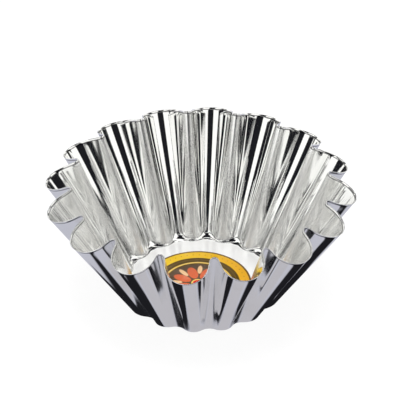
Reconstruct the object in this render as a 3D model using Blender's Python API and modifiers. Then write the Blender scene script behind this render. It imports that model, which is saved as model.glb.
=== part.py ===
# Fluted brioche tin: one pressed sheet of bright tinplate, with a round paper label on its floor.
# Metres, +Z up. The origin is the middle of the foot, at the level that the tin stands on.
# The crown of one lobe lies on +X.

from math import atan2, cos, pi, sin, tan

import bmesh
import bpy
from mathutils import Matrix, Vector

# Sheet
FLUTES = 16                 # lobes round the wall
SHEET = 0.0004              # thickness of the tinplate

# Rim, on the outer face of the sheet
RIM_RADIUS = 0.1000         # from the tin's axis to the crown of a lobe
RIM_FLUTE_DEPTH = 0.0169    # how much nearer to the axis the folds between the lobes run
RIM_FOLD_ARC = 0.0023       # radius of the fold
RIM_FLANK = 0.0036          # straight wall between the fold and the round of the lobe
RIM_HEIGHT = 0.0825         # height of the edge at a fold
RIM_WAVE = 0.0077           # how much lower the edge runs at the crown of a lobe
LIP_LENGTH = 0.0014         # length of the lip that turns out under the edge
LIP_REACH = 0.0003          # how far the lip turns out

# Foot, on the outer face of the sheet, where the wall's line meets the table
FOOT_RADIUS = 0.0535
FOOT_FLUTE_DEPTH = 0.0055
FOOT_FOLD_ARC = 0.0075
FOOT_FLANK = 0.0035
LOBE_BEND = 0.0040          # radius of the bend from wall to floor at the crown of a lobe
FOLD_BEND = 0.0025          # and at a fold

# Stamped panel in the floor
PANEL_MARGIN = 0.0004       # flat foot between the panel and the bend at a fold
PANEL_STEP = 0.0010         # width of the sloping step round the panel
PANEL_RISE = 0.0008         # height of the panel above the foot

# Label
LABEL_MARGIN = 0.0095       # bare tin between the panel's edge and the label
LABEL_THICKNESS = 0.0002
LABEL_X = -0.0015           # it is stuck on a little out of the middle
LABEL_Y = -0.0018
LABEL_CLEARANCE = 0.0003    # between the label and the tin under it

# Facets
LOBE_STEPS = 4              # on half a lobe
FOLD_STEPS = 3              # on half a fold
BEND_STEPS = 3              # on the bend from wall to floor
WALL_STEPS = 2              # on the straight wall
LIP_STEPS = 2
LABEL_SIDES = 72
SMOOTH_ANGLE = pi / 5       # edges that bend more than this stay sharp


def facing(angle):
    return Vector((cos(angle), sin(angle)))


def half_outline(lobe_radius, flute_depth, fold_arc, flank):
    """Half a flute in plan, from a lobe's crown on +X to the middle of the next fold.

    The round of the lobe and the fold bend opposite ways and are joined by a straight flank,
    which settles the lobe's own radius. Each point comes with the direction that the sheet's
    outer face looks in there.
    """
    half_pitch = pi / FLUTES
    fold = (lobe_radius - flute_depth + fold_arc) * facing(half_pitch)
    inset = lobe_radius - fold.x
    lobe_arc = (fold.y ** 2 + inset ** 2 - fold_arc ** 2 - flank ** 2) / (2 * (inset + fold_arc))
    lobe = Vector((lobe_radius - lobe_arc, 0))
    link = fold - lobe
    flank_angle = atan2(link.y, link.x) - atan2(flank, lobe_arc + fold_arc)

    outline = []
    for step in range(LOBE_STEPS + 1):
        normal = facing(flank_angle * step / LOBE_STEPS)
        outline.append((lobe + lobe_arc * normal, normal))
    for step in range(FOLD_STEPS + 1):
        normal = facing(flank_angle + (half_pitch - flank_angle) * step / FOLD_STEPS)
        outline.append((fold - fold_arc * normal, normal))
    return outline


def bend(corner, towards_floor, towards_rim, radius):
    """Points of a round bend at a corner, from its floor end to its wall end."""
    opening = towards_floor.angle(towards_rim)
    middle = corner + (towards_floor + towards_rim).normalized() * radius / sin(opening / 2)
    run = radius / tan(opening / 2)
    start = corner + towards_floor * run - middle
    end = corner + towards_rim * run - middle
    sweep = start.angle(end)
    points = []
    for step in range(BEND_STEPS + 1):
        along = sweep * step / BEND_STEPS
        points.append(middle + (start * sin(sweep - along) + end * sin(along)) / sin(sweep))
    return points


def wall_columns():
    """Half a flute of the outer face as columns of points, each from the floor's bend to the rim."""
    foot = half_outline(FOOT_RADIUS, FOOT_FLUTE_DEPTH, FOOT_FOLD_ARC, FOOT_FLANK)
    rim = half_outline(RIM_RADIUS - LIP_REACH, RIM_FLUTE_DEPTH, RIM_FOLD_ARC + LIP_REACH, RIM_FLANK)
    columns = []
    for (foot_point, foot_normal), (rim_point, rim_normal) in zip(foot, rim):
        outness = (rim_point.length - rim[-1][0].length) / (rim[0][0].length - rim[-1][0].length)
        low = foot_point.to_3d()
        high = rim_point.to_3d()
        high.z = RIM_HEIGHT - RIM_WAVE * outness
        rise = (high - low).normalized()
        bend_radius = FOLD_BEND + (LOBE_BEND - FOLD_BEND) * outness
        column = bend(low, -foot_normal.to_3d(), rise, bend_radius)
        wall_start = column[-1]
        lip_start = high - rise * LIP_LENGTH
        for step in range(1, WALL_STEPS + 1):
            column.append(wall_start.lerp(lip_start, step / WALL_STEPS))
        for step in range(1, LIP_STEPS + 1):
            share = step / LIP_STEPS
            turned_out = rim_normal.to_3d() * LIP_REACH * share ** 2
            column.append(lip_start.lerp(high, share) + turned_out)
        columns.append(column)
    return columns


def panel_radius(columns):
    """Outer radius of the step round the stamped panel: just inside the bend at the folds."""
    return columns[-1][0].length - PANEL_MARGIN


def shell_surface(columns):
    """The whole outer face: the half flute mirrored and repeated, with the panel closing its floor."""
    step_foot = panel_radius(columns)
    half = []
    for column in columns:
        outward = column[0].normalized()
        panel_edge = outward * (step_foot - PANEL_STEP) + Vector((0, 0, PANEL_RISE))
        half.append([panel_edge, outward * step_foot] + column)

    mesh = bmesh.new()
    grid = []
    for flute in range(FLUTES):
        turn = Matrix.Rotation(2 * pi * flute / FLUTES, 3, "Z")
        mirror = turn @ Matrix.Scale(-1, 3, Vector((0, 1, 0)))
        for column in reversed(half[1:]):
            grid.append([mesh.verts.new(mirror @ point) for point in column])
        for column in half[:-1]:
            grid.append([mesh.verts.new(turn @ point) for point in column])

    for left, right in zip(grid, grid[1:] + grid[:1]):
        for level in range(len(left) - 1):
            mesh.faces.new((left[level], left[level + 1], right[level + 1], right[level]))
    mesh.faces.new([column[0] for column in grid])
    bmesh.ops.recalc_face_normals(mesh, faces=mesh.faces)
    panel = max(mesh.faces, key=lambda face: len(face.verts))
    if panel.normal.z > 0:
        bmesh.ops.reverse_faces(mesh, faces=mesh.faces)
    return mesh


def principled(name, colour, roughness, metallic):
    material = bpy.data.materials.new(name)
    material.use_nodes = True
    shader = material.node_tree.nodes["Principled BSDF"]
    shader.inputs["Base Color"].default_value = (*colour, 1)
    shader.inputs["Roughness"].default_value = roughness
    shader.inputs["Metallic"].default_value = metallic
    return material


def make_shell(collection, columns):
    mesh = bpy.data.meshes.new("pan_shell")
    surface = shell_surface(columns)
    surface.to_mesh(mesh)
    surface.free()
    mesh.shade_smooth()
    mesh.set_sharp_from_angle(angle=SMOOTH_ANGLE)
    shell = bpy.data.objects.new("pan_shell", mesh)
    collection.objects.link(shell)
    sheet = shell.modifiers.new("sheet", "SOLIDIFY")
    sheet.thickness = SHEET
    sheet.offset = -1
    sheet.use_even_offset = True
    mesh.materials.append(principled("tinplate", (0.83, 0.83, 0.81), 0.08, 1.0))
    return shell


def make_label(collection, columns):
    bpy.ops.mesh.primitive_cylinder_add(
        vertices=LABEL_SIDES,
        radius=panel_radius(columns) - PANEL_STEP - LABEL_MARGIN,
        depth=LABEL_THICKNESS,
        location=(LABEL_X, LABEL_Y, PANEL_RISE + SHEET + LABEL_CLEARANCE + LABEL_THICKNESS / 2),
    )
    label = bpy.context.active_object
    label.name = "base_label"
    label.data.name = "base_label"
    for owner in list(label.users_collection):
        owner.objects.unlink(label)
    collection.objects.link(label)
    label.data.materials.append(principled("label_paper", (0.86, 0.55, 0.06), 0.45, 0.0))
    return label


def main():
    for old in list(bpy.data.objects):
        bpy.data.objects.remove(old)
    collection = bpy.data.collections.new("brioche_tin")
    bpy.context.scene.collection.children.link(collection)
    columns = wall_columns()
    make_shell(collection, columns)
    make_label(collection, columns)


main()
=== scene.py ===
import math

import bmesh
import bpy
from mathutils import Matrix, Vector, noise


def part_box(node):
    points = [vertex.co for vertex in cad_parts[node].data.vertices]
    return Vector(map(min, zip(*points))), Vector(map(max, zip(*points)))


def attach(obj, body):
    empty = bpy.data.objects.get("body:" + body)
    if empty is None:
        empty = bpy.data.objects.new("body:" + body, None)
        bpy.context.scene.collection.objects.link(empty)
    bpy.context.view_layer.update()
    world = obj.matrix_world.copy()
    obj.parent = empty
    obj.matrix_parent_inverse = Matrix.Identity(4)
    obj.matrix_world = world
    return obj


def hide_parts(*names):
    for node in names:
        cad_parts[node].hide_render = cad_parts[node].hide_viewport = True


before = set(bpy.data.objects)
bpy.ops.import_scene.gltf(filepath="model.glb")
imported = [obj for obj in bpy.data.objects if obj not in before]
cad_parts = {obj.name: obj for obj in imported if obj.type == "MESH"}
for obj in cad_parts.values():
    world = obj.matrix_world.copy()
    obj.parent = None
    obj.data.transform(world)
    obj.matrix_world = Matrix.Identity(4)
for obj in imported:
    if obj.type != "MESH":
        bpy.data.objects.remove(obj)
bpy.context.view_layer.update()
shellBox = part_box("pan_shell")
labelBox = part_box("base_label")


# a ready mesh becomes a piece on the tin's only body, in place of its CAD node
def finishPiece(name, mesh, material, node):
    data = bpy.data.meshes.new(name)
    mesh.to_mesh(data)
    mesh.free()
    data.shade_smooth()
    data.materials.append(material)
    piece = bpy.data.objects.new(name, data)
    bpy.context.scene.collection.objects.link(piece)
    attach(piece, "root")
    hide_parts(node)
    return piece


# adds a shader node; a value that is another node's socket is linked, any other is set
def addNode(tree, kind, values, **settings):
    made = tree.nodes.new("ShaderNode" + kind)
    for setting, value in settings.items():
        setattr(made, setting, value)
    for socket, value in values.items():
        if isinstance(value, bpy.types.NodeSocket):
            tree.links.new(value, made.inputs[socket])
        else:
            made.inputs[socket].default_value = value
    return made


def maths(tree, operation, *values, clamp=False):
    return addNode(tree, "Math", dict(enumerate(values)), operation=operation, use_clamp=clamp).outputs[0]


def mixColour(tree, share, first, second):
    return addNode(tree, "Mix", {0: share, 6: first, 7: second}, data_type="RGBA").outputs[2]


def readAttribute(tree, name, kind="Fac"):
    return addNode(tree, "Attribute", {}, attribute_name=name).outputs[kind]


# a node group with named sockets: returns its tree, the inputs to read and the outputs to feed
def newGroup(name, inputs, outputs):
    tree = bpy.data.node_groups.new(name, "ShaderNodeTree")
    for socket, kind in inputs.items():
        tree.interface.new_socket(socket, in_out="INPUT", socket_type="NodeSocket" + kind)
    for socket, kind in outputs.items():
        tree.interface.new_socket(socket, in_out="OUTPUT", socket_type="NodeSocket" + kind)
    return tree, tree.nodes.new("NodeGroupInput").outputs, tree.nodes.new("NodeGroupOutput").inputs


# places a group in a material and gives its only output
def useGroup(tree, group, values):
    return addNode(tree, "Group", values, node_tree=group).outputs[0]


def principled(name, colour, roughness, metallic):
    material = bpy.data.materials.new(name)
    material.use_nodes = True
    shader = material.node_tree.nodes["Principled BSDF"]
    shader.inputs["Base Color"].default_value = colour
    shader.inputs["Roughness"].default_value = roughness
    shader.inputs["Metallic"].default_value = metallic
    return material, material.node_tree, shader


# the tin: sizes in metres on the outer face of the sheet, and from bright on, how its metal looks
tin = {
    "flutes": 16,
    "sheet": 0.0004,
    "rimRadius": shellBox[1].x,      # over the crowns of the lobes
    "rimDepth": 0.0169,              # the folds lie this much further in
    "rimFoldArc": 0.0023,
    "rimFlank": 0.0036,              # straight wall between a fold and the round of a lobe
    "rimHeight": 0.08249,            # at a fold
    "rimWave": 0.0077,               # and this much lower at a crown
    "lipLength": 0.0014,
    "lipReach": 0.0003,
    "footRadius": 0.0530,            # where the wall's line meets the table
    "footDepth": 0.0043,
    "footFoldArc": 0.0055,
    "footFlank": 0.0030,
    "lobeBend": 0.0078,              # radius from wall to floor, at a crown
    "foldBend": 0.0026,              # and at a fold
    "panelMargin": 0.0004,           # flat foot between the stamped panel and the bend at a fold
    "panelStep": 0.0010,
    "panelRise": 0.0008,
    "lobeSteps": 13,                 # on half a lobe
    "flankSteps": 3,
    "foldSteps": 9,                  # on half a fold
    "bendSteps": 10,
    "wallSteps": 30,
    "lipSteps": 4,
    "stepSteps": 3,
    "dentDepth": 0.00016,            # the press leaves the wall slightly uneven, always inwards
    "dentWidth": 0.011,
    "dentLength": 0.060,
    "dentFrom": 0.004,               # distance from the panel where the unevenness sets in
    "dentFade": 0.020,               # and how much further on it is whole
    "bright": (0.96, 0.96, 0.95, 1),
    "dulled": (0.88, 0.87, 0.84, 1),
    "roughness": 0.05,
    "foldRoughness": 0.22,           # the folds are drawn hardest and come out duller
    "foldDullFrom": 0.45,            # share of the way from a crown to a fold
    "foldDullFull": 0.70,
    "floorRoughness": 0.25,          # added on the floor, which use has dulled
    "floorFrost": 0.68,              # share of the floor's shine that is lost
    # painted shade: this grey darkens the metal's colour in a thin line where the lip turns out
    "creaseShade": (0.40, 0.40, 0.40, 1),
    "creaseShadeWidth": 0.0007,           # a dark line of this width runs under the turned lip
    "smudgeSize": 0.035,
    "smudgeFrom": 0.50,              # value of the cloud where a smudge starts, and where it is whole
    "smudgeFull": 0.75,
    "smudgeShare": 0.5,
    "scratchSize": 0.0006,
    "scratchSlimness": 0.03,
    "scratchTurn": 0.6,
    "scratchFrom": 0.66,
    "scratchFull": 0.74,
    "scratchShare": 0.1,
    "scratchDepth": 0.02,            # as a share of markHeight
    "wornRoughness": 0.06,           # added where smudges and scratches are
    "markWidth": 0.0034,
    "markLength": 0.120,
    "markHeight": 0.000015,
    "fineWidth": 0.0007,
    "fineLength": 0.060,
    "fineHeight": 0.04,              # as a share of markHeight
}


def facing(angle):
    return Vector((math.cos(angle), math.sin(angle), 0))


# half a flute in plan, from the crown on +X to the middle of the next fold: points with their normals
def halfOutline(lobeRadius, depth, foldArc, flank):
    halfPitch = math.pi / tin["flutes"]
    fold = (lobeRadius - depth + foldArc) * facing(halfPitch)
    inset = lobeRadius - fold.x
    lobeArc = (fold.y ** 2 + inset ** 2 - foldArc ** 2 - flank ** 2) / (2 * (inset + foldArc))
    lobe = Vector((lobeRadius - lobeArc, 0, 0))
    link = fold - lobe
    flankAngle = math.atan2(link.y, link.x) - math.atan2(flank, lobeArc + foldArc)
    points = []
    for step in range(tin["lobeSteps"] + 1):
        normal = facing(flankAngle * step / tin["lobeSteps"])
        points.append((lobe + lobeArc * normal, normal))
    flankStart = points[-1][0]
    flankEnd = fold - foldArc * facing(flankAngle)
    for step in range(1, tin["flankSteps"] + 1):
        points.append((flankStart.lerp(flankEnd, step / tin["flankSteps"]), facing(flankAngle)))
    for step in range(1, tin["foldSteps"] + 1):
        normal = facing(flankAngle + (halfPitch - flankAngle) * step / tin["foldSteps"])
        points.append((fold - foldArc * normal, normal))
    return points


# a round bend at a corner, from its floor end to its wall end
def bendPoints(corner, toFloor, toRim, radius):
    opening = toFloor.angle(toRim)
    middle = corner + (toFloor + toRim).normalized() * radius / math.sin(opening / 2)
    run = radius / math.tan(opening / 2)
    start = corner + toFloor * run - middle
    end = corner + toRim * run - middle
    sweep = start.angle(end)
    points = []
    for step in range(tin["bendSteps"] + 1):
        along = sweep * step / tin["bendSteps"]
        points.append(middle + (start * math.sin(sweep - along) + end * math.sin(along)) / math.sin(sweep))
    return points


# the rounded step from the stamped panel down to the foot, in one direction from the axis
def stepPoints(outward, footDistance):
    points = []
    for number in range(tin["stepSteps"] + 1):
        share = number / tin["stepSteps"]
        rise = tin["panelRise"] * (1 + math.cos(math.pi * share)) / 2
        points.append(outward * (footDistance - tin["panelStep"] * (1 - share)) + Vector((0, 0, rise)))
    return points


# half a flute as columns of points, each from the stamped panel up to the rim
def halfFlute():
    foot = halfOutline(tin["footRadius"], tin["footDepth"], tin["footFoldArc"], tin["footFlank"])
    rim = halfOutline(tin["rimRadius"] - tin["lipReach"], tin["rimDepth"],
                      tin["rimFoldArc"] + tin["lipReach"], tin["rimFlank"])
    foldDistance = rim[-1][0].length
    columns = []
    for (low, footNormal), (rimPoint, rimNormal) in zip(foot, rim):
        outness = (rimPoint.length - foldDistance) / (rim[0][0].length - foldDistance)
        high = rimPoint + Vector((0, 0, tin["rimHeight"] - tin["rimWave"] * outness))
        rise = (high - low).normalized()
        bendRadius = tin["foldBend"] + (tin["lobeBend"] - tin["foldBend"]) * outness
        column = bendPoints(low, -footNormal, rise, bendRadius)
        wallStart = column[-1]
        lipStart = high - rise * tin["lipLength"]
        for step in range(1, tin["wallSteps"] + 1):
            column.append(wallStart.lerp(lipStart, step / tin["wallSteps"]))
        for step in range(1, tin["lipSteps"] + 1):
            share = step / tin["lipSteps"]
            column.append(lipStart.lerp(high, share) + rimNormal * tin["lipReach"] * share ** 2)
        columns.append(column)
    stepFoot = columns[-1][0].length - tin["panelMargin"]
    return [stepPoints(column[0].normalized(), stepFoot) + column for column in columns]


# the half flute mirrored and repeated round the axis
def allColumns():
    half = halfFlute()
    columns = []
    for flute in range(tin["flutes"]):
        turn = Matrix.Rotation(2 * math.pi * flute / tin["flutes"], 3, "Z")
        mirror = turn @ Matrix.Scale(-1, 3, Vector((0, 1, 0)))
        columns += [[mirror @ point for point in column] for column in reversed(half[1:])]
        columns += [[turn @ point for point in column] for column in half[:-1]]
    return columns


# where each column stands on the wall rolled out flat, as a point on a circle of the rim's own girth,
# so that marks along the flutes run round the wall without a seam
def girthPlaces(columns):
    widths = [(column[-1] - columns[number - 1][-1]).length for number, column in enumerate(columns)]
    girth = sum(widths)
    places = []
    walked = 0
    for width in widths:
        walked += width
        places.append(facing(2 * math.pi * walked / girth) * girth / (2 * math.pi))
    return places


# the stamped panel's disc grows ring by ring into the step, the bend, the wall and the lip
def buildShell():
    columns = allColumns()
    places = girthPlaces(columns)
    halfCount = len(columns) // tin["flutes"] // 2
    mesh = bmesh.new()
    columnOf = mesh.verts.layers.int.new("column")
    unrolled = mesh.verts.layers.float_vector.new("unrolled")
    drawn = mesh.verts.layers.float.new("drawn")           # 0 at a crown, 1 at a fold
    rimEdge = mesh.verts.layers.float.new("rimEdge")       # distance to the rim's edge, 1 on the panel
    onFloor = mesh.verts.layers.float.new("onFloor")       # 1 on the panel, its step and the flat foot
    circle = bmesh.ops.create_circle(mesh, cap_ends=True, segments=len(columns), radius=tin["footRadius"])
    for number, vert in enumerate(circle["verts"]):
        vert.co = columns[number][0]
        vert[columnOf] = number
        vert[unrolled] = places[number]
        vert[drawn] = abs(halfCount - number % (2 * halfCount)) / halfCount
        vert[rimEdge] = 1
        vert[onFloor] = 1
    ring = list(mesh.edges)
    for level in range(1, len(columns[0])):
        grown = bmesh.ops.extrude_edge_only(mesh, edges=ring)["geom"]
        newVerts = {item for item in grown if isinstance(item, bmesh.types.BMVert)}
        for vert in newVerts:
            column = columns[vert[columnOf]]
            climbed = (column[level] - column[0]).length
            vert.co = column[level]
            vert[unrolled] = places[vert[columnOf]] + Vector((0, 0, climbed))
            vert[rimEdge] = (column[-1] - column[level]).length
            vert[onFloor] = 1 if level <= tin["stepSteps"] + 1 else 0
        newEdges = [item for item in grown if isinstance(item, bmesh.types.BMEdge)]
        ring = [edge for edge in newEdges if set(edge.verts) <= newVerts]
    bmesh.ops.recalc_face_normals(mesh, faces=mesh.faces)
    panel = max(mesh.faces, key=lambda face: len(face.verts))
    if panel.normal.z > 0:
        bmesh.ops.reverse_faces(mesh, faces=mesh.faces)
    dentWall(mesh, unrolled)
    return mesh


# shallow unevenness along the flutes, level with the sheet at the foot
def dentWall(mesh, unrolled):
    mesh.normal_update()
    for vert in mesh.verts:
        place = vert[unrolled]
        grain = Vector((place.x / tin["dentWidth"], place.y / tin["dentWidth"], place.z / tin["dentLength"]))
        share = min(1, max(0, place.z - tin["dentFrom"]) / tin["dentFade"])
        depth = tin["dentDepth"] * (1 + noise.noise(grain)) * share
        vert.co -= Vector((vert.normal.x, vert.normal.y, 0)) * depth


# marks that the press draws up the wall: long, narrow and fading in and out
def drawMarksGroup():
    tree, given, result = newGroup("drawMarks", {"Unrolled": "Vector", "Width": "Float", "Length": "Float"},
                                   {"Height": "Float"})
    across = maths(tree, "DIVIDE", 1.0, given["Width"])
    along = maths(tree, "DIVIDE", 1.0, given["Length"])
    stretch = addNode(tree, "CombineXYZ", {"X": across, "Y": across, "Z": along}).outputs[0]
    place = addNode(tree, "VectorMath", {0: given["Unrolled"], 1: stretch}, operation="MULTIPLY").outputs[0]
    marks = addNode(tree, "TexNoise", {"Vector": place, "Scale": 1.0, "Detail": 0.0})
    tree.links.new(marks.outputs["Fac"], result["Height"])
    return tree


# soft patches of a dulled surface, from wiping and handling
def smudgesGroup():
    tree, given, result = newGroup("smudges", {"Vector": "Vector", "Size": "Float", "From": "Float",
                                               "Full": "Float"}, {"Mask": "Float"})
    scale = maths(tree, "DIVIDE", 1.0, given["Size"])
    cloud = addNode(tree, "TexNoise", {"Vector": given["Vector"], "Scale": scale, "Detail": 5.0,
                                       "Roughness": 0.55, "Distortion": 0.4})
    soft = addNode(tree, "MapRange", {"Value": cloud.outputs["Fac"], "From Min": given["From"],
                                      "From Max": given["Full"]}, interpolation_type="SMOOTHSTEP")
    tree.links.new(soft.outputs["Result"], result["Mask"])
    return tree


# hair-fine scratches in one direction
def hairlinesGroup():
    tree, given, result = newGroup("hairlines", {"Vector": "Vector", "Size": "Float", "Slimness": "Float",
                                                 "Turn": "Float", "From": "Float", "Full": "Float"},
                                   {"Mask": "Float"})
    turned = addNode(tree, "VectorRotate", {"Vector": given["Vector"], "Angle": given["Turn"]},
                     rotation_type="Z_AXIS").outputs[0]
    across = maths(tree, "DIVIDE", 1.0, given["Size"])
    along = maths(tree, "MULTIPLY", across, given["Slimness"])
    stretch = addNode(tree, "CombineXYZ", {"X": across, "Y": along, "Z": across}).outputs[0]
    place = addNode(tree, "VectorMath", {0: turned, 1: stretch}, operation="MULTIPLY").outputs[0]
    lines = addNode(tree, "TexNoise", {"Vector": place, "Scale": 1.0, "Detail": 2.0})
    thin = addNode(tree, "MapRange", {"Value": lines.outputs["Fac"], "From Min": given["From"],
                                      "From Max": given["Full"]})
    tree.links.new(thin.outputs["Result"], result["Mask"])
    return tree


drawMarks = drawMarksGroup()
smudges = smudgesGroup()
hairlines = hairlinesGroup()


def tinplateMaterial():
    material, tree, shader = principled("brightTinplate", tin["bright"], tin["roughness"], 1)
    unrolled = readAttribute(tree, "unrolled", "Vector")
    place = addNode(tree, "TexCoord", {}).outputs["Object"]
    broad = useGroup(tree, drawMarks, {"Unrolled": unrolled, "Width": tin["markWidth"],
                                       "Length": tin["markLength"]})
    fine = useGroup(tree, drawMarks, {"Unrolled": unrolled, "Width": tin["fineWidth"],
                                      "Length": tin["fineLength"]})
    smudge = useGroup(tree, smudges, {"Vector": place, "Size": tin["smudgeSize"],
                                      "From": tin["smudgeFrom"], "Full": tin["smudgeFull"]})
    scratch = useGroup(tree, hairlines, {"Vector": place, "Size": tin["scratchSize"],
                                         "Slimness": tin["scratchSlimness"], "Turn": tin["scratchTurn"],
                                         "From": tin["scratchFrom"], "Full": tin["scratchFull"]})
    worn = maths(tree, "ADD", maths(tree, "MULTIPLY", smudge, tin["smudgeShare"]),
                 maths(tree, "MULTIPLY", scratch, tin["scratchShare"]), clamp=True)
    # painted shade, a thin dark line where the lip turns out
    creaseShade = maths(tree, "COMPARE", readAttribute(tree, "rimEdge"), tin["lipLength"], tin["creaseShadeWidth"] / 2)
    colour = mixColour(tree, worn, tin["bright"], tin["dulled"])
    tree.links.new(mixColour(tree, creaseShade, colour, tin["creaseShade"]), shader.inputs["Base Color"])

    onFloor = readAttribute(tree, "onFloor")
    frost = maths(tree, "MULTIPLY", onFloor, tin["floorFrost"])
    tree.links.new(maths(tree, "SUBTRACT", 1.0, frost), shader.inputs["Metallic"])
    drawn = readAttribute(tree, "drawn")
    rough = addNode(tree, "MapRange", {"Value": drawn, "From Min": tin["foldDullFrom"],
                                       "From Max": tin["foldDullFull"], "To Min": tin["roughness"],
                                       "To Max": tin["foldRoughness"]}).outputs[0]
    rough = maths(tree, "ADD", rough, maths(tree, "MULTIPLY", onFloor, tin["floorRoughness"]))
    rough = maths(tree, "ADD", rough, maths(tree, "MULTIPLY", worn, tin["wornRoughness"]))
    tree.links.new(rough, shader.inputs["Roughness"])

    height = maths(tree, "ADD", broad, maths(tree, "MULTIPLY", fine, tin["fineHeight"]))
    height = maths(tree, "SUBTRACT", height, maths(tree, "MULTIPLY", scratch, tin["scratchDepth"]))
    bump = addNode(tree, "Bump", {"Height": height, "Distance": tin["markHeight"]})
    tree.links.new(bump.outputs["Normal"], shader.inputs["Normal"])
    return material


shellPiece = finishPiece("fluted_shell", buildShell(), tinplateMaterial(), "pan_shell")
sheetWall = shellPiece.modifiers.new("sheet", "SOLIDIFY")
sheetWall.thickness = tin["sheet"]
sheetWall.offset = -1
sheetWall.use_even_offset = True
print("shell made,", len(shellPiece.data.polygons), "faces")


# the label, a thin disc on the floor; its print is in metres from the label's middle
label = {
    "middle": (labelBox[0] + labelBox[1]) / 2,
    "radius": (labelBox[1].x - labelBox[0].x) / 2,
    "thickness": labelBox[1].z - labelBox[0].z,
    "sides": 144,
    "lemon": (0.98, 0.66, 0.02, 1),
    "orange": (0.86, 0.42, 0.01, 1),
    "outline": (0.17, 0.075, 0.003, 1),
    "olive": (0.10, 0.055, 0.004, 1),
    "oliveLight": (0.24, 0.15, 0.02, 1),
    "straw": (0.80, 0.54, 0.12, 1),
    "brown": (0.10, 0.058, 0.030, 1),
    "petal": (0.62, 0.12, 0.04, 1),
    "cream": (0.80, 0.50, 0.26, 1),
    "heart": (0.60, 0.035, 0.015, 1),
    "smudge": (0.90, 0.82, 0.70, 1),
    "lemonTo": -0.030,               # the ground turns from lemon to orange between these, along X
    "orangeFrom": 0.035,
    "outlineFrom": 0.0341,
    "dotRing": 0.0314,
    "dotRadius": 0.00042,
    "dots": 48,
    "oliveTo": 0.0280,
    "oliveLineFrom": 0.0255,
    "oliveLineTo": 0.0261,
    "strawFrom": 0.0218,
    "strawTo": 0.0234,
    "brownTo": 0.0209,
    "petals": 8,
    "petalFrom": 0.0050,
    "petalTo": 0.0180,
    "petalHalfWidth": 0.0034,
    "creamFrom": 0.0100,
    "creamTo": 0.0195,
    "creamHalfWidth": 0.0017,
    "heartRimTo": 0.0045,
    "heartTo": 0.0036,
    "blur": 0.00025,
    "gloss": 0.25,
    "roughness": 0.34,
    "smudgeRoughness": 0.15,
    "smudgeShare": 0.12,
    "smudgeSize": 0.012,
    "smudgeFrom": 0.52,
    "smudgeFull": 0.75,
    "toothSize": 0.0004,
    "toothHeight": 0.00002,
}


def buildLabel():
    mesh = bmesh.new()
    bmesh.ops.create_cone(mesh, cap_ends=True, segments=label["sides"], radius1=label["radius"],
                          radius2=label["radius"], depth=label["thickness"],
                          matrix=Matrix.Translation(label["middle"]))
    return mesh


# a ring between two radii, soft by the printer's blur
def ringGroup():
    tree, given, result = newGroup("printedRing", {"Radius": "Float", "Inner": "Float", "Outer": "Float",
                                                   "Blur": "Float"}, {"Mask": "Float"})
    pastInner = maths(tree, "SUBTRACT", given["Radius"], given["Inner"])
    beforeOuter = maths(tree, "SUBTRACT", given["Outer"], given["Radius"])
    innerSide = maths(tree, "DIVIDE", pastInner, given["Blur"], clamp=True)
    outerSide = maths(tree, "DIVIDE", beforeOuter, given["Blur"], clamp=True)
    tree.links.new(maths(tree, "MULTIPLY", innerSide, outerSide), result["Mask"])
    return tree


# evenly spaced ovals round the middle; equal half length and half width make dots
def ovalsGroup():
    tree, given, result = newGroup("printedOvals", {"Radius": "Float", "Turn": "Float", "Count": "Float",
                                                    "Middle": "Float", "Half Length": "Float",
                                                    "Half Width": "Float", "Blur": "Float"},
                                   {"Mask": "Float"})
    spread = maths(tree, "FRACT", maths(tree, "MULTIPLY", given["Turn"], given["Count"]))
    fromOval = maths(tree, "MULTIPLY", maths(tree, "SUBTRACT", spread, 0.5), 2 * math.pi)
    angle = maths(tree, "DIVIDE", fromOval, given["Count"])
    outwards = maths(tree, "MULTIPLY", given["Radius"], maths(tree, "COSINE", angle))
    sideways = maths(tree, "MULTIPLY", given["Radius"], maths(tree, "SINE", angle))
    along = maths(tree, "DIVIDE", maths(tree, "SUBTRACT", outwards, given["Middle"]), given["Half Length"])
    across = maths(tree, "DIVIDE", sideways, given["Half Width"])
    squares = maths(tree, "ADD", maths(tree, "POWER", along, 2.0), maths(tree, "POWER", across, 2.0))
    inner = maths(tree, "SUBTRACT", 1.0, maths(tree, "SQRT", squares))
    depth = maths(tree, "MULTIPLY", inner, given["Half Width"])
    tree.links.new(maths(tree, "DIVIDE", depth, given["Blur"], clamp=True), result["Mask"])
    return tree


# the tooth of coated paper
def paperToothGroup():
    tree, given, result = newGroup("paperTooth", {"Vector": "Vector", "Size": "Float"}, {"Height": "Float"})
    scale = maths(tree, "DIVIDE", 1.0, given["Size"])
    tooth = addNode(tree, "TexNoise", {"Vector": given["Vector"], "Scale": scale, "Detail": 4.0,
                                       "Roughness": 0.7})
    tree.links.new(tooth.outputs["Fac"], result["Height"])
    return tree


printedRing = ringGroup()
printedOvals = ovalsGroup()
paperTooth = paperToothGroup()


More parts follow.
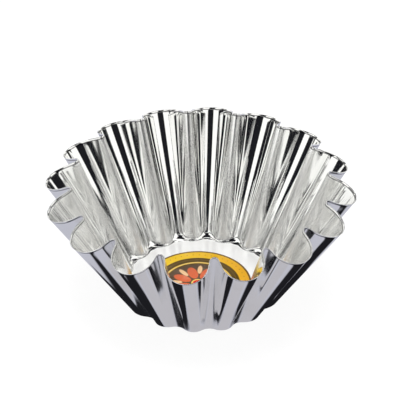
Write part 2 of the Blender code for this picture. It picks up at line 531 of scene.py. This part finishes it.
def labelMaterial():
    material, tree, shader = principled("printedLabel", label["lemon"], label["roughness"], 0)
    shader.inputs["Specular IOR Level"].default_value = label["gloss"]
    place = addNode(tree, "TexCoord", {}).outputs["Object"]
    centred = addNode(tree, "Mapping", {"Vector": place, "Location": tuple(-label["middle"])}).outputs[0]
    parts = addNode(tree, "SeparateXYZ", {"Vector": centred}).outputs
    flat = addNode(tree, "CombineXYZ", {"X": parts["X"], "Y": parts["Y"]}).outputs[0]
    radius = addNode(tree, "VectorMath", {0: flat}, operation="LENGTH").outputs["Value"]
    turn = maths(tree, "DIVIDE", maths(tree, "ARCTAN2", parts["Y"], parts["X"]), 2 * math.pi)
    blur = label["blur"]

    def ring(inner, outer):
        return useGroup(tree, printedRing, {"Radius": radius, "Inner": inner, "Outer": outer, "Blur": blur})

    def disc(outer):
        return ring(-blur, outer)

    def ovals(count, turned, near, far, halfWidth):
        return useGroup(tree, printedOvals, {"Radius": radius, "Turn": maths(tree, "ADD", turn, turned),
                                             "Count": count, "Middle": (near + far) / 2,
                                             "Half Length": (far - near) / 2, "Half Width": halfWidth,
                                             "Blur": blur})

    ramp = addNode(tree, "MapRange", {"Value": parts["X"], "From Min": label["lemonTo"],
                                      "From Max": label["orangeFrom"]}).outputs[0]
    colour = mixColour(tree, ramp, label["lemon"], label["orange"])
    dotFrom, dotTo = label["dotRing"] - label["dotRadius"], label["dotRing"] + label["dotRadius"]
    betweenPetals = 0.5 / label["petals"]
    layers = [
        (ovals(label["dots"], 0.0, dotFrom, dotTo, label["dotRadius"]), "outline"),
        (ring(label["outlineFrom"], label["radius"] + blur), "outline"),
        (disc(label["oliveTo"]), "olive"),
        (ring(label["oliveLineFrom"], label["oliveLineTo"]), "oliveLight"),
        (ring(label["strawFrom"], label["strawTo"]), "straw"),
        (disc(label["brownTo"]), "brown"),
        (ovals(label["petals"], betweenPetals, label["creamFrom"], label["creamTo"],
               label["creamHalfWidth"]), "cream"),
        (ovals(label["petals"], 0.0, label["petalFrom"], label["petalTo"],
               label["petalHalfWidth"]), "petal"),
        (disc(label["heartRimTo"]), "straw"),
        (disc(label["heartTo"]), "heart"),
    ]
    for mask, name in layers:
        colour = mixColour(tree, mask, colour, label[name])
    smudge = useGroup(tree, smudges, {"Vector": place, "Size": label["smudgeSize"],
                                      "From": label["smudgeFrom"], "Full": label["smudgeFull"]})
    smudged = maths(tree, "MULTIPLY", smudge, label["smudgeShare"])
    tree.links.new(mixColour(tree, smudged, colour, label["smudge"]), shader.inputs["Base Color"])
    rough = maths(tree, "ADD", label["roughness"], maths(tree, "MULTIPLY", smudge, label["smudgeRoughness"]))
    tree.links.new(rough, shader.inputs["Roughness"])
    tooth = useGroup(tree, paperTooth, {"Vector": place, "Size": label["toothSize"]})
    bump = addNode(tree, "Bump", {"Height": tooth, "Distance": label["toothHeight"]})
    tree.links.new(bump.outputs["Normal"], shader.inputs["Normal"])
    return material


finishPiece("round_label", buildLabel(), labelMaterial(), "base_label")
print("label made")


# the photograph's camera, in metres; the sensor and the lens in millimetres
camera = {
    "place": (0.0972, -1.0099, 0.7738),
    "aim": (0.00556, -0.00923, 0.06823),
    "lens": 167.4,
    "sensor": 36,
    "nearest": 0.05,
    "farthest": 50,
}


def placeCamera():
    data = bpy.data.cameras.new("camera")
    data.lens = camera["lens"]
    data.sensor_width = camera["sensor"]
    data.clip_start = camera["nearest"]
    data.clip_end = camera["farthest"]
    eye = bpy.data.objects.new("camera", data)
    eye.location = camera["place"]
    eye.rotation_euler = (Vector(camera["aim"]) - eye.location).to_track_quat("-Z", "Y").to_euler()
    bpy.context.scene.collection.objects.link(eye)
    bpy.context.scene.camera = eye


placeCamera()
cameraSide = math.atan2(camera["place"][1], camera["place"][0])

# the studio: a white floor, and round it a pale room, white panels and black cards that only bright
# metal mirrors
studio = {
    "floorSize": 6,
    "floorGlow": 0.82,               # share of the floor's white that no shadow takes away
    "lampEnergy": 1.5,
    "lampSpread": 0.5,
    "roomRadius": 1.2,
    "roomSides": 32,
    "roomRings": 16,
    "roomHigh": (1.04, 1.04, 1.02, 1),
    "roomLow": (0.92, 0.92, 0.91, 1),
    "lowTo": 0.05,                   # heights between which the low colour turns into the high one
    "highFrom": 0.35,
    "cardDistance": 0.5,
    "eyeLevel": 0.06,                # height on the tin's axis from which the cards' angles rise
    "cardSteps": 24,
    "cardRows": 4,
    "bright": (1.50, 1.50, 1.48, 1),
    "white": (1.05, 1.05, 1.03, 1),
    "plainWhite": (1, 1, 1, 1),
    "black": (0.012, 0.012, 0.015, 1),
    # the sheet below the floor is what the metal mirrors in place of the floor; its grey-lavender is painted
    # shade of the floor round the tin
    "sheetLevel": -0.060,            # a pale sheet below the floor, with strips on it
    "shadedFloorColour": (0.52, 0.525, 0.60, 1),
    "pale": (0.50, 0.49, 0.53, 1),
    "stripLift": 0.001,
    "stripBlur": 0.012,
}
# turn is in degrees to the right of the camera; left and right hold a card's low and high edge at
# those ends, in degrees above the horizon
cards = {
    "leftPanel": {"turn": (-54, -13), "left": (10, 35), "right": (10, 42), "glow": "white"},
    "frontCard": {"turn": (-12, 39), "left": (8, 45), "right": (8, 45), "glow": "black"},
    "frontHighCard": {"turn": (-34, 38), "left": (52, 71), "right": (48, 71), "glow": "black"},
    "rightPanel": {"turn": (41, 86), "left": (19, 47), "right": (21, 47), "glow": "white"},
    "leftCard": {"turn": (-120, -56), "left": (12, 22), "right": (19, 33), "glow": "black"},
    "leftHighCard": {"turn": (-130, -28), "left": (22, 34), "right": (42, 51), "glow": "black"},
    "rightCard": {"turn": (87, 144), "left": (22, 41), "right": (20, 31), "glow": "black"},
    "rightLowCard": {"turn": (39.5, 101), "left": (6, 18.5), "right": (8, 18), "glow": "black"},
    "leftHighPanel": {"turn": (-121.5, -34), "left": (54, 71), "right": (54, 71), "glow": "white"},
    "rightHighPanel": {"turn": (38, 121.5), "left": (52, 71), "right": (52, 71), "glow": "white"},
    "frontTopCard": {"turn": (-122, 122), "left": (71, 89.9), "right": (71, 89.9), "glow": "black"},
    "backTopCard": {"turn": (122, 238), "left": (66, 89.9), "right": (66, 89.9), "glow": "black"},
    "backPanel": {"turn": (122, 238), "left": (60, 66), "right": (58, 66), "glow": "bright"},
    "backCard": {"turn": (130, 230), "left": (41, 60), "right": (41, 60), "glow": "black"},
}
# corners in metres to the right of the tin's axis and away from the camera
# painted shadow and light on the floor as the metal sees it: the black strips are the tin's painted shadow
# beside its foot, the middle strip a painted patch of paler floor
strips = {
    "middleLight": {"glow": "pale", "corners": [
        (-0.030, -0.100), (0.045, -0.100), (0.045, 0.020), (0.020, 0.040), (-0.020, 0.040)]},
    "leftShadowStrip": {"glow": "black", "corners": [
        (-0.086, -0.100), (-0.044, -0.100), (-0.023, -0.070), (-0.014, -0.040), (-0.026, -0.010),
        (-0.028, 0.050), (-0.095, 0.050), (-0.115, 0.000), (-0.088, -0.030), (-0.082, -0.080)]},
    "rightShadowStrip": {"glow": "black", "corners": [
        (0.030, 0.060), (0.031, 0.000), (0.036, -0.035), (0.052, -0.064), (0.088, -0.092),
        (0.140, -0.082), (0.170, -0.020), (0.160, 0.014), (0.117, 0.014), (0.098, 0.060)]},
}


def stageObject(name, mesh, material):
    data = bpy.data.meshes.new(name)
    mesh.to_mesh(data)
    mesh.free()
    data.materials.append(material)
    made = bpy.data.objects.new(name, data)
    bpy.context.scene.collection.objects.link(made)
    return made


# a stage object that is seen in reflections alone
def mirroredObject(name, mesh, material):
    made = stageObject(name, mesh, material)
    made.visible_camera = False
    made.visible_diffuse = False
    made.visible_shadow = False
    made.visible_transmission = False


def emptyMaterial(name):
    material = bpy.data.materials.new(name)
    material.use_nodes = True
    tree = material.node_tree
    tree.nodes.remove(tree.nodes["Principled BSDF"])
    return material, tree


# the metal mirrors the colour; light that paper gathers by way of the metal stays plain white
def addGlow(tree, colour):
    gathered = maths(tree, "GREATER_THAN", addNode(tree, "LightPath", {}).outputs["Diffuse Depth"], 0.5)
    glow = addNode(tree, "Emission", {"Color": mixColour(tree, gathered, colour, studio["plainWhite"])})
    tree.links.new(glow.outputs["Emission"], tree.nodes["Material Output"].inputs["Surface"])


def plainGlow(name, colour):
    material, tree = emptyMaterial(name)
    addGlow(tree, colour)
    return material


def roomPaint():
    material, tree = emptyMaterial("roomPaint")
    place = addNode(tree, "NewGeometry", {}).outputs["Position"]
    height = addNode(tree, "SeparateXYZ", {"Vector": place}).outputs["Z"]
    rise = addNode(tree, "MapRange", {"Value": height, "From Min": studio["lowTo"],
                                      "From Max": studio["highFrom"]}).outputs["Result"]
    addGlow(tree, mixColour(tree, rise, studio["roomLow"], studio["roomHigh"]))
    return material


# a strip's colour fades into the sheet's at its edge; the black strips carry painted shadow, the middle one
# painted floor light
def stripPaint(name, colour):
    material, tree = emptyMaterial(name)
    soft = addNode(tree, "MapRange", {"Value": readAttribute(tree, "shade")},
                   interpolation_type="SMOOTHSTEP").outputs["Result"]
    addGlow(tree, mixColour(tree, soft, studio["shadedFloorColour"], colour))
    return material


# a flat grid of unit size is bent into a patch of the sphere round the tin
def makeCard(name, card):
    mesh = bmesh.new()
    bmesh.ops.create_grid(mesh, x_segments=studio["cardSteps"], y_segments=studio["cardRows"], size=0.5)
    for vert in mesh.verts:
        along, up = vert.co.x + 0.5, vert.co.y + 0.5
        turn = math.radians(card["turn"][0] * (1 - along) + card["turn"][1] * along)
        low, high = [left * (1 - along) + right * along for left, right in zip(card["left"], card["right"])]
        slope = math.radians(low * (1 - up) + high * up)
        vert.co = facing(cameraSide + turn) * math.cos(slope) + Vector((0, 0, math.sin(slope)))
        vert.co = vert.co * studio["cardDistance"] + Vector((0, 0, studio["eyeLevel"]))
    mirroredObject(name, mesh, plainGlow(name, studio[card["glow"]]))


# a strip lies just over the sheet, and its edge is as wide as the blur
def makeStrip(name, strip):
    mesh = bmesh.new()
    shade = mesh.verts.layers.float.new("shade")
    level = studio["sheetLevel"] + studio["stripLift"]
    verts = [mesh.verts.new((across, away, level)) for across, away in strip["corners"]]
    bmesh.ops.contextual_create(mesh, geom=verts)
    bmesh.ops.inset_region(mesh, faces=mesh.faces[:], thickness=studio["stripBlur"], use_even_offset=True,
                           use_boundary=True)
    for vert in mesh.verts:
        vert[shade] = 0 if vert.is_boundary else 1
    turn = Matrix.Rotation(cameraSide + math.pi / 2, 3, "Z")
    bmesh.ops.rotate(mesh, verts=mesh.verts, cent=(0, 0, 0), matrix=turn)
    mirroredObject(name, mesh, stripPaint(name, studio[strip["glow"]]))


def makeRoom():
    room = bmesh.new()
    bmesh.ops.create_uvsphere(room, u_segments=studio["roomSides"], v_segments=studio["roomRings"],
                              radius=studio["roomRadius"])
    bmesh.ops.bisect_plane(room, geom=room.verts[:] + room.edges[:] + room.faces[:],
                           plane_co=(0, 0, studio["sheetLevel"]), plane_no=(0, 0, -1), clear_outer=True)
    mirroredObject("room", room, roomPaint())
    # a sheet coloured with painted shade of the floor round the tin, seen only in the metal
    sheet = bmesh.new()
    bmesh.ops.create_grid(sheet, x_segments=1, y_segments=1, size=studio["roomRadius"],
                          matrix=Matrix.Translation((0, 0, studio["sheetLevel"])))
    mirroredObject("shadedFloorSheet", sheet, plainGlow("shadedFloorSheet", studio["shadedFloorColour"]))


# white paper that keeps part of the tin's shadow
def floorMaterial():
    material, tree, shader = principled("floorPaper", studio["plainWhite"], 1, 0)
    path = addNode(tree, "LightPath", {}).outputs
    mirrored = maths(tree, "ADD", path["Is Glossy Ray"], path["Is Transmission Ray"])
    seen = maths(tree, "ADD", path["Is Camera Ray"], mirrored, clamp=True)
    glow = addNode(tree, "Emission", {"Color": studio["plainWhite"]})
    mix = addNode(tree, "MixShader", {0: maths(tree, "MULTIPLY", seen, studio["floorGlow"]),
                                      1: shader.outputs["BSDF"], 2: glow.outputs["Emission"]})
    tree.links.new(mix.outputs["Shader"], tree.nodes["Material Output"].inputs["Surface"])
    return material


# the metal mirrors the sheet and the strips, with their painted shade and shadow, not this floor
def makeFloor():
    mesh = bmesh.new()
    bmesh.ops.create_grid(mesh, x_segments=1, y_segments=1, size=studio["floorSize"])
    stageObject("floor", mesh, floorMaterial()).visible_glossy = False


# a soft lamp from above that the bright metal doesn't mirror; it stands for the light that the wall
# throws down on the label and the dulled floor
def hangLamp():
    data = bpy.data.lights.new("overheadLamp", "SUN")
    data.energy = studio["lampEnergy"]
    data.angle = studio["lampSpread"]
    lamp = bpy.data.objects.new("overheadLamp", data)
    lamp.visible_glossy = False
    bpy.context.scene.collection.objects.link(lamp)


for cardName, card in cards.items():
    makeCard(cardName, card)
for stripName, strip in strips.items():
    makeStrip(stripName, strip)
makeRoom()
makeFloor()
hangLamp()

world = bpy.data.worlds.new("studio")
world.use_nodes = True
world.node_tree.nodes["Background"].inputs["Color"].default_value = studio["plainWhite"]
world.node_tree.nodes["Background"].inputs["Strength"].default_value = 1
bpy.context.scene.world = world
bpy.context.scene.view_settings.view_transform = "Standard"
print("studio set")
